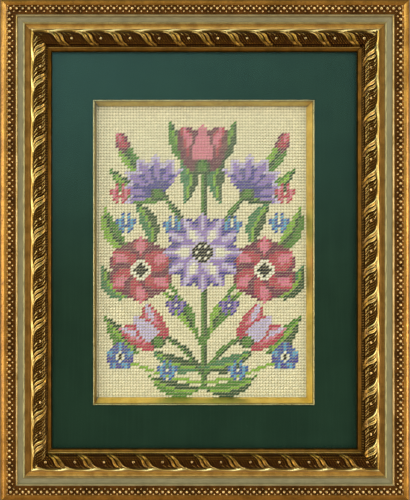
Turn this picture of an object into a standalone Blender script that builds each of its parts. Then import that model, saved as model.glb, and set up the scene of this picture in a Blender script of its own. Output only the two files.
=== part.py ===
"""Framed needlepoint canvas panel: a stitched wool canvas under glass, behind a green mat board with a
gilt fillet round its window, in four mitred rails of gilt moulding.

The picture stands upright and faces -Y. The origin is on the wall face, in the middle of the flat back of
the top rail. Sizes are in metres.
"""

import math

import bmesh
import bpy
from mathutils import Matrix

MM = 0.001

# Mitred frame: the sight opening is what the rails leave clear, the rebate is the step behind their lip.
SIGHT_WIDTH = 256.5 * MM
SIGHT_HEIGHT = 333.5 * MM
MOULDING_WIDTH = 43.2 * MM
REBATE_WIDTH = 6.0 * MM
FIT_GAP = 0.3 * MM

# Layers in the rebate, from the wall face towards the room.
BOARD_RECESS = 1.5 * MM
BOARD_THICKNESS = 3.0 * MM
CANVAS_THICKNESS = 2.0 * MM
FILLET_DEPTH = 7.5 * MM
MAT_THICKNESS = 1.5 * MM
GLASS_THICKNESS = 2.0 * MM

# Needlework: ten mesh canvas, with ten stitches to an inch of 25.4 mm, and an inch left bare all round.
STITCH = 2.54 * MM
STITCHES_ACROSS = 71
STITCHES_DOWN = 99
CANVAS_MARGIN = 25.4 * MM

# Gilt fillet: a bead along the mat's cut edge, a steep inner face, and a flange behind the mat.
FILLET_BEAD = 2.0 * MM
FILLET_BEAD_HEIGHT = 1.0 * MM
FILLET_SLOPE = 1.6 * MM
FILLET_FLANGE = 5.4 * MM

# The mat's window is cut this much below the middle of the sight opening.
WINDOW_DROP = 1.9 * MM

# Back faces of the layers, as heights above the wall face.
CANVAS_BACK = BOARD_RECESS + BOARD_THICKNESS + FIT_GAP
FILLET_BACK = CANVAS_BACK + CANVAS_THICKNESS + FIT_GAP
MAT_FRONT = FILLET_BACK + FILLET_DEPTH
MAT_BACK = MAT_FRONT - MAT_THICKNESS
GLASS_BACK = MAT_FRONT + FIT_GAP
LIP_BACK = GLASS_BACK + GLASS_THICKNESS + FIT_GAP

# Sizes that follow from those above.
FRAME_WIDTH = SIGHT_WIDTH + 2 * MOULDING_WIDTH
FRAME_HEIGHT = SIGHT_HEIGHT + 2 * MOULDING_WIDTH
BACK_FACE_WIDTH = MOULDING_WIDTH - REBATE_WIDTH
PACK_WIDTH = SIGHT_WIDTH + 2 * (REBATE_WIDTH - FIT_GAP)
PACK_HEIGHT = SIGHT_HEIGHT + 2 * (REBATE_WIDTH - FIT_GAP)
WORKED_WIDTH = STITCHES_ACROSS * STITCH
WORKED_HEIGHT = STITCHES_DOWN * STITCH
FILLET_WIDTH = FILLET_FLANGE + FILLET_BEAD + FILLET_SLOPE
FLANGE_OUTER_WIDTH = WORKED_WIDTH + 2 * FILLET_WIDTH
FLANGE_OUTER_HEIGHT = WORKED_HEIGHT + 2 * FILLET_WIDTH
WINDOW_WIDTH = FLANGE_OUTER_WIDTH - 2 * (FILLET_FLANGE - FIT_GAP)
WINDOW_HEIGHT = FLANGE_OUTER_HEIGHT - 2 * (FILLET_FLANGE - FIT_GAP)
FRAME_CENTRE_Z = BACK_FACE_WIDTH / 2 - FRAME_HEIGHT / 2
WINDOW_CENTRE_Z = FRAME_CENTRE_Z - WINDOW_DROP

# Members of the moulding, as heights above the back of its lip.
OUTER_SPRING = -0.2 * MM
OUTER_ROUND = 5.4 * MM
BEAD_CHANNEL = 3.8 * MM
ASTRAGAL = 5.2 * MM
PANEL_OUTER = 3.3 * MM
PANEL_INNER = 2.6 * MM
QUIRK = 3.2 * MM
COVE_SPRING = 4.2 * MM
COVE_FLOOR = 1.9 * MM
SCALLOP_EDGE = 5.0 * MM
TORUS_SPRING = 2.2 * MM
TORUS_TOP = 8.2 * MM
LIP_SPRING = 1.3 * MM
LIP_TOP = 2.4 * MM


def arc(centre, radii, start, end, steps):
    """Points along an ellipse from one angle to another in degrees, both ends included."""
    angles = [math.radians(start + (end - start) * step / steps) for step in range(steps + 1)]
    return [(centre[0] + radii[0] * math.cos(a), centre[1] + radii[1] * math.sin(a)) for a in angles]


def moulding_profile():
    """The moulding's section as (distance in from its outer edge, height above the wall face)."""

    def at(across_mm, height):
        return (across_mm * MM, LIP_BACK + height)

    profile = [(0.0, 0.0)]
    profile += arc(at(4.8, OUTER_SPRING), (4.8 * MM, OUTER_ROUND - OUTER_SPRING), 180, 90, 6)
    profile += [at(5.7, OUTER_ROUND - 0.3 * MM), at(6.1, BEAD_CHANNEL), at(13.1, BEAD_CHANNEL)]
    profile += arc(at(14.3, BEAD_CHANNEL), (1.0 * MM, ASTRAGAL - BEAD_CHANNEL), 180, 0, 6)
    profile += [at(15.5, PANEL_OUTER), at(19.4, PANEL_INNER), at(19.7, QUIRK), at(20.9, QUIRK)]
    profile += arc(at(23.5, COVE_SPRING), (2.3 * MM, COVE_SPRING - COVE_FLOOR), 205, 355, 7)
    profile += arc(at(27.3, COVE_SPRING), (1.3 * MM, SCALLOP_EDGE - COVE_SPRING), 180, 0, 6)
    profile += arc(at(34.5, TORUS_SPRING), (5.6 * MM, TORUS_TOP - TORUS_SPRING), 180, 0, 12)
    profile += [at(40.3, LIP_SPRING)]
    profile += arc(at(41.9, LIP_SPRING), (1.3 * MM, LIP_TOP - LIP_SPRING), 180, 0, 6)
    profile += [(MOULDING_WIDTH, LIP_BACK), (BACK_FACE_WIDTH, LIP_BACK), (BACK_FACE_WIDTH, 0.0)]
    return profile


def fillet_profile():
    """The fillet's section as (distance in from its flange's edge, height above the wall face)."""
    flange_front = MAT_BACK - FIT_GAP
    bead_middle = (FILLET_FLANGE + FILLET_BEAD / 2, MAT_FRONT - FILLET_BEAD_HEIGHT)
    profile = [(0.0, FILLET_BACK), (0.0, flange_front), (FILLET_FLANGE, flange_front)]
    profile += arc(bead_middle, (FILLET_BEAD / 2, FILLET_BEAD_HEIGHT), 180, 0, 8)
    profile += [(FILLET_WIDTH, FILLET_BACK)]
    return profile


def rectangle(width, height):
    """The corners of a rectangle about the origin."""
    return [(x * width / 2, y * height / 2) for x, y in ((-1, -1), (1, -1), (1, 1), (-1, 1))]


def cut_from_outline(name, rings, thickness):
    """A mesh extruded from closed rings of points, where a ring inside another is a hole."""
    curve = bpy.data.curves.new(name, "CURVE")
    curve.dimensions = "2D"
    curve.fill_mode = "BOTH"
    curve.extrude = thickness / 2
    for ring in rings:
        spline = curve.splines.new("POLY")
        spline.points.add(len(ring) - 1)
        spline.use_cyclic_u = True
        for point, (x, y) in zip(spline.points, ring):
            point.co = (x, y, 0.0, 1.0)
    outline = bpy.data.objects.new(name + "_outline", curve)
    bpy.context.scene.collection.objects.link(outline)
    graph = bpy.context.evaluated_depsgraph_get()
    mesh = bpy.data.meshes.new_from_object(outline.evaluated_get(graph))
    mesh.name = name
    bpy.data.objects.remove(outline)
    bm = bmesh.new()
    bm.from_mesh(mesh)
    bmesh.ops.remove_doubles(bm, verts=bm.verts, dist=1e-6)
    bmesh.ops.recalc_face_normals(bm, faces=bm.faces)
    bm.to_mesh(mesh)
    bm.free()
    return mesh


def mitred_strip(name, profile, side_length, far_side_distance):
    """The top strip of a rectangle whose sides are side_length long, about the rectangle's middle.

    Each end is cut at 45 degrees: a point is drawn back by its own distance in from the outer edge."""
    mesh = cut_from_outline(name, [profile], side_length)
    half_gap = FIT_GAP / 2 * math.sqrt(2)
    for vertex in mesh.vertices:
        inward, height, along = vertex.co
        drawn_back = abs(along) - inward - half_gap
        vertex.co = (-math.copysign(drawn_back, along), -height, far_side_distance / 2 - inward)
    mesh.shade_smooth()
    mesh.set_sharp_from_angle(angle=math.radians(30))
    return mesh


def board(name, width, height, thickness, back):
    """A flat rectangular sheet whose back face is this far above the wall face."""
    bm = bmesh.new()
    bmesh.ops.create_cube(bm, size=1.0)
    middle = Matrix.Translation((0.0, -(back + thickness / 2), 0.0))
    bmesh.ops.transform(bm, matrix=middle @ Matrix.Diagonal((width, thickness, height, 1.0)), verts=bm.verts)
    mesh = bpy.data.meshes.new(name)
    bm.to_mesh(mesh)
    bm.free()
    return mesh


def finish(name, colour, roughness, metallic=0.0, alpha=1.0):
    """A Principled material of one linear colour."""
    material = bpy.data.materials.new(name)
    material.use_nodes = True
    shader = material.node_tree.nodes["Principled BSDF"]
    shader.inputs["Base Color"].default_value = (*colour, 1.0)
    shader.inputs["Roughness"].default_value = roughness
    shader.inputs["Metallic"].default_value = metallic
    shader.inputs["Alpha"].default_value = alpha
    return material


def place(collection, name, mesh, material, centre_z, turn=0.0):
    """An object in the picture's plane, turned about the line of sight."""
    made = bpy.data.objects.new(name, mesh)
    made.location = (0.0, 0.0, centre_z)
    made.rotation_euler = (0.0, math.radians(turn), 0.0)
    if not mesh.materials:
        mesh.materials.append(material)
    collection.objects.link(made)
    return made


def build_frame(collection):
    """Four mitred rails: two share the mesh of the top one, two that of the right one."""
    gilt = finish("gilt_moulding", (0.35, 0.2, 0.06), 0.4, 0.8)
    profile = moulding_profile()
    level = mitred_strip("rail_level", profile, FRAME_WIDTH, FRAME_HEIGHT)
    upright = mitred_strip("rail_upright", profile, FRAME_HEIGHT, FRAME_WIDTH)
    place(collection, "rail_top", level, gilt, FRAME_CENTRE_Z)
    place(collection, "rail_right", upright, gilt, FRAME_CENTRE_Z, 90.0)
    place(collection, "rail_bottom", level, gilt, FRAME_CENTRE_Z, 180.0)
    place(collection, "rail_left", upright, gilt, FRAME_CENTRE_Z, 270.0)


def build_fillet(collection):
    """Four mitred strips of gilt fillet round the mat's window."""
    gilt = finish("gilt_fillet", (0.6, 0.4, 0.12), 0.3, 0.9)
    profile = fillet_profile()
    level = mitred_strip("fillet_level", profile, FLANGE_OUTER_WIDTH, FLANGE_OUTER_HEIGHT)
    upright = mitred_strip("fillet_upright", profile, FLANGE_OUTER_HEIGHT, FLANGE_OUTER_WIDTH)
    place(collection, "fillet_top", level, gilt, WINDOW_CENTRE_Z)
    place(collection, "fillet_right", upright, gilt, WINDOW_CENTRE_Z, 90.0)
    place(collection, "fillet_bottom", level, gilt, WINDOW_CENTRE_Z, 180.0)
    place(collection, "fillet_left", upright, gilt, WINDOW_CENTRE_Z, 270.0)


def build_mat(collection):
    """A sheet of mat board with the window cut through it, a little below the middle."""
    green = finish("green_mat_board", (0.02, 0.06, 0.045), 0.85)
    window = [(x, y + WINDOW_DROP) for x, y in rectangle(WINDOW_WIDTH, WINDOW_HEIGHT)]
    mesh = cut_from_outline("mat_board", [rectangle(PACK_WIDTH, PACK_HEIGHT), window], MAT_THICKNESS)
    turn = Matrix.Rotation(math.radians(-90.0), 4, "X")
    mesh.transform(Matrix.Translation((0.0, -(MAT_BACK + MAT_THICKNESS / 2), 0.0)) @ turn)
    place(collection, "mat_board", mesh, green, FRAME_CENTRE_Z)


def build_flat_layers(collection):
    """The stitched canvas, the board behind it and the glass in front of the mat."""
    wool = finish("wool_on_canvas", (0.7, 0.65, 0.4), 0.9)
    sheet = finish("picture_glass", (0.9, 0.95, 0.93), 0.05, alpha=0.25)
    hardboard = finish("brown_hardboard", (0.2, 0.12, 0.06), 0.8)
    canvas_width = WORKED_WIDTH + 2 * CANVAS_MARGIN
    canvas_height = WORKED_HEIGHT + 2 * CANVAS_MARGIN
    canvas = board("needlepoint_canvas", canvas_width, canvas_height, CANVAS_THICKNESS, CANVAS_BACK)
    place(collection, "needlepoint_canvas", canvas, wool, WINDOW_CENTRE_Z)
    glass = board("glass_pane", PACK_WIDTH, PACK_HEIGHT, GLASS_THICKNESS, GLASS_BACK)
    place(collection, "glass_pane", glass, sheet, FRAME_CENTRE_Z)
    backing = board("backing_board", PACK_WIDTH, PACK_HEIGHT, BOARD_THICKNESS, BOARD_RECESS)
    place(collection, "backing_board", backing, hardboard, FRAME_CENTRE_Z)


def build_picture():
    """Clears the scene and makes every piece in one collection."""
    for existing in list(bpy.data.objects):
        bpy.data.objects.remove(existing)
    picture = bpy.data.collections.new("framed_needlepoint_panel")
    bpy.context.scene.collection.children.link(picture)
    build_frame(picture)
    build_flat_layers(picture)
    build_mat(picture)
    build_fillet(picture)


build_picture()
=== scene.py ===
# %% [markdown]
# # A needlepoint picture in a gilt frame
#
# The object is a stitched wool canvas behind glass, in a mitred frame of gilded moulding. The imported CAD
# part holds its plain solids: four rails, four fillet strips, a mat board, a glass pane, the canvas and a
# backing board. This lesson keeps those sizes and gives every piece its real surface. The rails get their
# carved ribbon and rows of beads, and the canvas gets one wool stitch for each crossing of its threads.

import math
import random

import bmesh
import bpy
import numpy as np
from mathutils import Matrix, Vector


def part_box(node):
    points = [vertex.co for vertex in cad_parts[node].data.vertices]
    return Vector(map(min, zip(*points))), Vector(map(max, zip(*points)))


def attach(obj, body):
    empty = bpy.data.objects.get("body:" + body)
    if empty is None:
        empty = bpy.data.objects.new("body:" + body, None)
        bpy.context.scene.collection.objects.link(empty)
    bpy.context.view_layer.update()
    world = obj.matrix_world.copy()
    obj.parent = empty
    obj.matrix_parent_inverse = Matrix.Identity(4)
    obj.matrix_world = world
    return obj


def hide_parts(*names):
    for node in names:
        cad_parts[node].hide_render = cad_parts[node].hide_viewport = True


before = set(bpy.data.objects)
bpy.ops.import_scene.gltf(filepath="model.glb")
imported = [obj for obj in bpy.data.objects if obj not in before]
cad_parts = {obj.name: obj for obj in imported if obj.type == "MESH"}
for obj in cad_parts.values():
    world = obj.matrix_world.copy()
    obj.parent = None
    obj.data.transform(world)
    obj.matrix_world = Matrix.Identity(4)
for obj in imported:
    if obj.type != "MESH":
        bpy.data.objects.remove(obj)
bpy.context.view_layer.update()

# %% [markdown]
# ## Sizes
#
# A framer measures everything in millimetres, so the sizes are written that way and scaled to metres once.
# The CAD nodes tell where the layers are. What is added here is only what a plain solid cannot carry, such
# as the pitch of the beads and the repeat of the ribbon.

# %% Sizes read from the part, and sizes of the ornament
MM = 0.001
# The moulding's width, and the width of its back outside the rebate, in millimetres like all its section.
MOULDING_WIDTH, BACK_WIDTH = 43.2, 37.2
MITRE_GAP = 0.12 * MM
FITTING_GAP = 0.3 * MM

rails_low = Vector(map(min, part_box("rail_left")[0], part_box("rail_bottom")[0]))
rails_high = Vector(map(max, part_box("rail_right")[1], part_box("rail_top")[1]))
FRAME_WIDTH = rails_high.x - rails_low.x
FRAME_HEIGHT = rails_high.z - rails_low.z
FRAME_MIDDLE = Vector((0.0, 0.0, (rails_low.z + rails_high.z) / 2))

glass_low, glass_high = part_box("glass_pane")
LIP_BACK = -glass_low.y + FITTING_GAP
mat_low, mat_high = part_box("mat_board")
MAT_FRONT = -mat_low.y
canvas_low, canvas_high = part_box("needlepoint_canvas")
CANVAS_MIDDLE = (canvas_low + canvas_high) / 2
CANVAS_WIDTH = canvas_high.x - canvas_low.x
CANVAS_HEIGHT = canvas_high.z - canvas_low.z

STITCH = 2.54 * MM
ACROSS = 71
DOWN = 99
WORKED_WIDTH = ACROSS * STITCH
WORKED_HEIGHT = DOWN * STITCH
print(f"frame {FRAME_WIDTH * 1000:.1f} x {FRAME_HEIGHT * 1000:.1f} mm, canvas {CANVAS_WIDTH * 1000:.1f} x "
      f"{CANVAS_HEIGHT * 1000:.1f} mm, worked area {WORKED_WIDTH * 1000:.1f} x {WORKED_HEIGHT * 1000:.1f} mm")

# %% [markdown]
# ## Tools for colour and materials
#
# Colours are written as a painter picks them on a screen, in sRGB hex. Blender's sockets hold linear light,
# so one function converts them. One small function adds a node, sets it and links it, so that a material
# reads from top to bottom like a recipe, and the linking serves a shader that is already there as well. Two
# more are steps that every finish here repeats: a random pattern of a real size, and another tone that shows
# where a pattern is high.

# %% Helpers for materials
# What a Map Range node is told where it eases its value, and a Mix node where it mixes colours.
SMOOTH = {"interpolation_type": "SMOOTHSTEP"}
COLOURS = {"data_type": "RGBA", "out": 2}


def linear(hex_text):
    """An sRGB colour such as 'c08a3e' as linear red, green, blue and alpha."""
    channels = [int(hex_text[i:i + 2], 16) / 255 for i in (0, 2, 4)]
    return tuple(c / 12.92 if c <= 0.04045 else ((c + 0.055) / 1.055) ** 2.4 for c in channels) + (1.0,)


def wired(tree, made, inputs):
    """Sets the inputs of a node, each to a value, a hex colour or another node's output."""
    for name, value in inputs.items():
        if isinstance(value, bpy.types.NodeSocket):
            tree.links.new(value, made.inputs[name])
        else:
            made.inputs[name].default_value = linear(value) if isinstance(value, str) else value


def node(tree, kind, inputs=None, out=0, **settings):
    """Adds a shader node with its own settings and its inputs, and gives one of its outputs."""
    made = tree.nodes.new("ShaderNode" + kind)
    for name, value in settings.items():
        setattr(made, name, value)
    wired(tree, made, inputs or {})
    return made.outputs[out] if made.outputs else None


def mottled(tree, where, size, detail, roughness, drawn=(1.0, 1.0, 1.0)):
    """Random patches of about this size in metres, drawn out along an axis whose scale is below 1."""
    where = node(tree, "Mapping", {"Vector": where, "Scale": drawn})
    pattern = {"Vector": where, "Scale": 1.0 / size, "Detail": detail, "Roughness": roughness}
    return node(tree, "TexNoise", pattern)


def showing(tree, tone, pattern, low, high, colour, most=1.0, least=0.0):
    """tone under another colour, whose share goes from least to most as a pattern goes from low to high."""
    share = node(tree, "MapRange", {0: pattern, 1: low, 2: high, 3: least, 4: most}, **SMOOTH)
    return node(tree, "Mix", {0: share, 6: tone, 7: colour}, **COLOURS)


def waves_of(pitch):
    """The scale at which a wave texture repeats after this distance."""
    return math.tau / (20 * pitch)


def new_material(name):
    """A new material: it, its tree and its Principled shader."""
    material = bpy.data.materials.new(name)
    material.use_nodes = True
    tree = material.node_tree
    return material, tree, tree.nodes["Principled BSDF"]


# %% [markdown]
# ## Gold on the moulding
#
# A frame like this is not solid gold. Red-brown clay is brushed over gesso, leaf or bronze powder is laid on
# it, and the high places are rubbed until the clay shows, while dark wax stays in the hollows. One recipe
# makes all of these golds. Patches a few millimetres wide change the tone, fine specks show the clay, and a
# stretched noise leaves the faint streaks of the brush along the rail. Each use of the recipe is another
# colour and another share of clay. The streaks follow the piece's UV map, which runs along the rail in
# metres.

# %% The recipe for gilding
PATCH_SIZE, SPECK_SIZE, BRUSH_WIDTH = 9 * MM, 1.1 * MM, 0.9 * MM


def gilding(name, gold, worn, clay, roughness, clay_share, metallic=1.0, streak=0.5, varnish=0.4,
            gloss=0.5):
    """Leaf over clay: gold with patches of a worn tone, and specks of clay where it is rubbed through."""
    material, tree, shader = new_material(name)
    place = node(tree, "TexCoord", out="Object")
    streaks = mottled(tree, node(tree, "UVMap", uv_map="rail"), BRUSH_WIDTH, 3.0, 0.6, (0.06, 1.0, 1.0))
    specks = mottled(tree, place, SPECK_SIZE, 4.0, 0.7)
    tone = showing(tree, gold, mottled(tree, place, PATCH_SIZE, 3.0, 0.6), 0.35, 0.68, worn)
    tone = showing(tree, tone, streaks, 0.45, 0.75, worn, streak)
    rub_from = 0.66 - 0.2 * clay_share
    rubbed_and_highlight = node(tree, "MapRange", {0: specks, 1: rub_from, 2: rub_from + 0.12}, **SMOOTH)
    tone = node(tree, "Mix", {0: rubbed_and_highlight, 6: tone, 7: clay}, **COLOURS)
    shine = node(tree, "MapRange", {0: specks, 1: 0.3, 2: 0.75, 3: roughness - 0.06, 4: roughness + 0.16},
                 **SMOOTH)
    metal = node(tree, "MapRange", {0: rubbed_and_highlight, 3: metallic, 4: metallic * 0.35}, **SMOOTH)
    coat = node(tree, "MapRange", {0: rubbed_and_highlight, 3: varnish, 4: 0.0}, **SMOOTH)
    relief = node(tree, "Bump", {"Height": specks, "Distance": 0.1 * MM, "Strength": 0.5})
    relief = node(tree, "Bump", {"Height": streaks, "Distance": 0.08 * MM, "Strength": 0.4, "Normal": relief})
    brushed = node(tree, "Bump", {"Height": streaks, "Distance": 0.04 * MM, "Strength": 0.4})
    wired(tree, shader, {"Base Color": tone, "Roughness": shine, "Metallic": metal, "Normal": relief,
                         "Coat Weight": coat, "Coat Roughness": 0.16, "Coat Normal": brushed,
                         "Specular IOR Level": gloss})
    return material


# The broad outer round, rubbed to a warm worn gold. It is the lit copy, kept on the upright rails, and its
# bright upright edges are partly painted light.
outer_gold = gilding("rubbed_leaf_over_red_clay", "c08a38", "9a6a26", "5a2e0c", 0.4, 0.5, varnish=0.5)
# Dark waxed clay in the bead channel, which makes each bead read as a separate point of light.
bead_ground = gilding("waxed_brown_clay", "52300a", "381e02", "1c0e00", 0.5, 0.5, 0.3, varnish=0.0,
                      gloss=0.05)
# Burnished gold of the beads, a pale leaf with the wax wiped off.
bead_gold = gilding("burnished_bead_leaf", "d8b06c", "a07c40", "4c3010", 0.24, 0.4, varnish=1.0)
# The thin astragal is left pale, as a drawn line beside the painted panel. Only the uprights keep it, and
# there its paleness is partly a painted highlight.
pale_gold = gilding("pale_lemon_leaf", "c8aa70", "9c7c40", "6c4c24", 0.36, 0.2)
# The cove keeps some wax, and so looks olive beside the bright edge.
cove_gold = gilding("waxed_cove_leaf", "a07830", "865e20", "5c3a12", 0.44, 0.35, 0.8, varnish=0.2)
# On the level rails the outer round is a darker copy of the same gold, painted shade for rails that the side
# windows light less, and it mirrors the dim room.
outer_gold_painted_shade = gilding("outer_leaf_painted_shade", "845822", "6e4818", "4a2808", 0.52, 0.4, varnish=0.0, gloss=0.3)
# The fine line beside the panel is olive there instead of cream: a darker copy, painted shade, as it catches
# light only on the uprights.
line_painted_shade = gilding("line_leaf_painted_shade", "84703e", "6c5a30", "4a3a1c", 0.5, 0.3, 0.6, varnish=0.0,
                     gloss=0.3)
# On the level rails the astragal is a darker copy, painted shade, until it nearly matches the paint.
astragal_painted_shade = gilding("astragal_leaf_painted_shade", "887850", "786844", "5c4c30", 0.55, 0.2, 0.3, varnish=0.0,
                         gloss=0.2)
# On the upright rails the cove is a browner copy of the same leaf, painted shade where the uprights' cove
# catches less light.
cove_painted_shade = gilding("cove_leaf_painted_shade", "785420", "604012", "402608", 0.5, 0.35, 0.7, varnish=0.0,
                     gloss=0.2)
# On the level rails the crest of the sight lip is a brighter leaf than its slope, partly burnished and partly
# a painted highlight of the light from above.
lip_crest_painted_highlight = gilding("lip_crest_leaf_painted_highlight", "b08c44", "90702c", "6c4418", 0.34, 0.2, varnish=0.5)
# The slope of the lip is toned down with brown wax.
lip_gold = gilding("toned_lip_leaf", "644212", "4c320a", "301c06", 0.42, 0.4, varnish=0.05, gloss=0.2)
# Dark wax is left in the hollows beside the lip and under the ribbon. Part of it is painted shade: it darkens
# the lip's inner edge and the gaps under the ribbon, where shadow falls and gives the ornament its depth.
wax_and_painted_shade = gilding("dark_wax_and_painted_shade", "301c02", "201200", "120800", 0.6, 0.5, 0.2, varnish=0.0,
                     gloss=0.0)

# %% [markdown]
# ## Painted panel and bare wood
#
# Between the beads and the cove runs a flat panel in grey-green casein paint, rubbed so that gold glints
# through in a few scratches. The back of the stock is bare pine, whose grain runs along each rail.

# %% Paint and wood


def casein_paint():
    """Grey-green rubbed paint with fine streaks along the rail and a few gold scratches."""
    material, tree, shader = new_material("grey_green_casein_paint")
    place = node(tree, "TexCoord", out="Object")
    streaks = mottled(tree, node(tree, "UVMap", uv_map="rail"), 0.5 * MM, 3.0, 0.65, (0.05, 1.0, 1.0))
    scratches = mottled(tree, place, 1.4 * MM, 5.0, 0.75, (1.0, 1.0, 0.35))
    tone = showing(tree, "7c704e", mottled(tree, place, 14 * MM, 3.0, 0.6), 0.3, 0.7, "706647")
    tone = showing(tree, tone, streaks, 0.35, 0.75, "524c32", 0.5)
    tone = showing(tree, tone, scratches, 0.66, 0.74, "a8935f", 0.7)
    relief = node(tree, "Bump", {"Height": streaks, "Distance": 0.08 * MM, "Strength": 0.6})
    wired(tree, shader, {"Base Color": tone, "Roughness": 0.5, "Normal": relief, "Specular IOR Level": 0.35})
    return material


def bare_pine():
    """Pale pine with its grain drawn along the rail, darkened with age."""
    material, tree, shader = new_material("aged_bare_pine")
    along = node(tree, "UVMap", uv_map="rail")
    grain = mottled(tree, along, 1.6 * MM, 5.0, 0.6, (0.035, 1.0, 1.0))
    bands = mottled(tree, along, 7 * MM, 2.0, 0.5, (0.02, 1.0, 1.0))
    tone = showing(tree, "b98f5c", bands, 0.35, 0.65, "9c7242")
    tone = showing(tree, tone, grain, 0.45, 0.7, "7a5128", 0.7)
    relief = node(tree, "Bump", {"Height": grain, "Distance": 0.15 * MM, "Strength": 0.6})
    wired(tree, shader, {"Base Color": tone, "Roughness": 0.72, "Normal": relief})
    return material


def rubbed_line():
    """The cream line beside the panel, rubbed thin so that it breaks up along the rail."""
    material, tree, shader = new_material("rubbed_cream_line")
    breaks = mottled(tree, node(tree, "UVMap", uv_map="rail"), 1.2 * MM, 3.0, 0.6, (0.15, 1.0, 1.0))
    tone = showing(tree, "a0925f", breaks, 0.4, 0.65, "756a42")
    relief = node(tree, "Bump", {"Height": breaks, "Distance": 0.08 * MM, "Strength": 0.5})
    wired(tree, shader, {"Base Color": tone, "Roughness": 0.45, "Normal": relief, "Specular IOR Level": 0.3})
    return material


sage_paint = casein_paint()
cream_line = rubbed_line()
pine = bare_pine()

# %% [markdown]
# ## The rails
#
# A moulding is one profile pushed along a straight line, then cut at 45 degrees. Blender can follow the same
# steps. A single vertex is pulled from point to point until the section is drawn, the closed line is
# extruded to the length of the rail, and `bisect_plane` is the mitre saw. Each strip of the profile is a
# different finish, so a face picks its material by how far in from the outer edge it lies.
#
# All four rails come off the same stock, as in a framer's shop: each is built as the top one and then turned
# about the line of sight. That is why the ribbon leans the other way on the upright rails.

# %% Drawing a section and sawing mitres
CHANNEL_LEVEL = 3.8


def arc(centre, radii, start, end, steps):
    """Points along an ellipse from one angle to another in degrees."""
    angles = [math.radians(start + (end - start) * step / steps) for step in range(steps + 1)]
    return [(centre[0] + radii[0] * math.cos(a), centre[1] + radii[1] * math.sin(a)) for a in angles]


def moulding_section():
    """The moulding's section in millimetres: distance in from the outer edge, height above the wall."""
    back = -LIP_BACK / MM
    section = [(0.0, back)]
    # The outer round, and the flat channel for the beads.
    section += arc((3.9, 2.4), (3.9, 3.0), 180, 58, 16)
    section += [(6.1, 4.4), (6.2, CHANNEL_LEVEL), (6.8, CHANNEL_LEVEL), (13.3, CHANNEL_LEVEL)]
    # The astragal, the sloping painted panel and the fine line beside it.
    section += arc((14.4, 3.7), (0.95, 1.4), 180, 25, 10)
    section += [(15.6, 3.6), (19.1, 2.8), (19.3, 3.2), (19.6, 3.4), (20.7, 3.4), (21.0, 3.1), (21.2, 2.8)]
    # The cove, and the half-round that the ribbon lies on.
    section += arc((23.6, 3.4), (2.3, 0.8), 200, 325, 10)
    section += [(26.3, 3.4), (27.0, 3.1), (28.8, 2.0)]
    section += arc((34.5, 1.2), (5.2, 4.6), 170, 10, 14)
    # The sight lip: its crest, its slope and its thin edge over the glass.
    section += [(39.3, 0.8), (39.5, 1.0)]
    section += arc((40.15, 1.6), (0.55, 0.75), 180, 50, 8)
    section += [(41.4, 1.4), (42.4, 0.9), (42.6, 0.8), (43.1, 0.5), (MOULDING_WIDTH, 0.0)]
    section += [(BACK_WIDTH, 0.0), (BACK_WIDTH, back)]
    return [(inward, height + LIP_BACK / MM) for inward, height in section]


def drawn_line(bm, points):
    """A line of edges drawn by pulling one vertex from point to point."""
    first = bmesh.ops.create_vert(bm, co=points[0])["vert"][0]
    tip = first
    for point in points[1:]:
        tip = bmesh.ops.extrude_vert_indiv(bm, verts=[tip])["verts"][0]
        tip.co = point
    return first, tip


def saw_mitres(bm, length, far_side, gap=MITRE_GAP):
    """Cuts both ends of a strip along the top of a rectangle at 45 degrees, from its outer corners."""
    for end in (-1, 1):
        corner = Vector((end * (length / 2 - gap / 2), 0.0, far_side / 2))
        everything = bm.verts[:] + bm.edges[:] + bm.faces[:]
        bmesh.ops.bisect_plane(bm, geom=everything, plane_co=corner, plane_no=(end, 0.0, -1.0),
                               clear_outer=True, dist=1e-7)


def write_rail_map(bm, far_side):
    """A UV map in metres: along the rail, and in from its outer edge plus the height of steep faces."""
    layer = bm.loops.layers.uv.new("rail")
    for face in bm.faces:
        for loop in face.loops:
            place = loop.vert.co
            loop[layer].uv = (place.x, far_side / 2 - place.z - place.y)


def side_matrix(turn, middle):
    """Turns what is built for the top of a rectangle about middle to another of its sides."""
    return Matrix.Translation(middle) @ Matrix.Rotation(math.radians(turn), 4, "Y")


def four_sides(width, height):
    """For each side of a rectangle: its turn from the top one, its length and the size across from it."""
    return {"top": (0.0, width, height), "right": (90.0, height, width),
            "bottom": (180.0, width, height), "left": (270.0, height, width)}


def finished_piece(bm, name, materials, sharp_angle=32.0):
    """An object at the origin from a bmesh, smooth except across edges sharper than this angle."""
    mesh = bpy.data.meshes.new(name)
    bm.to_mesh(mesh)
    bm.free()
    for material in materials:
        mesh.materials.append(material)
    mesh.shade_smooth()
    if sharp_angle is not None:
        mesh.set_sharp_from_angle(angle=math.radians(sharp_angle))
    piece = bpy.data.objects.new(name, mesh)
    bpy.context.scene.collection.objects.link(piece)
    return piece


# %% Building the rails
RAIL_SIDES = four_sides(FRAME_WIDTH, FRAME_HEIGHT)
RAIL_FINISHES = [outer_gold, bead_ground, pale_gold, sage_paint, cove_gold, lip_crest_painted_highlight, lip_gold, pine,
                 cream_line, wax_and_painted_shade]
# The upright and level rails take lit and shaded copies of some finishes. The darker copies are painted
# shade: on the level rails' outer round and fine lines, and in the uprights' cove. The paler finishes kept on
# the uprights, and the brighter lip crest of the level rails, are partly painted light.
UPRIGHT_SWAPS = {cove_gold: cove_painted_shade, lip_crest_painted_highlight: lip_gold}
LEVEL_SWAPS = {outer_gold: outer_gold_painted_shade, pale_gold: astragal_painted_shade, cream_line: line_painted_shade}
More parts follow.
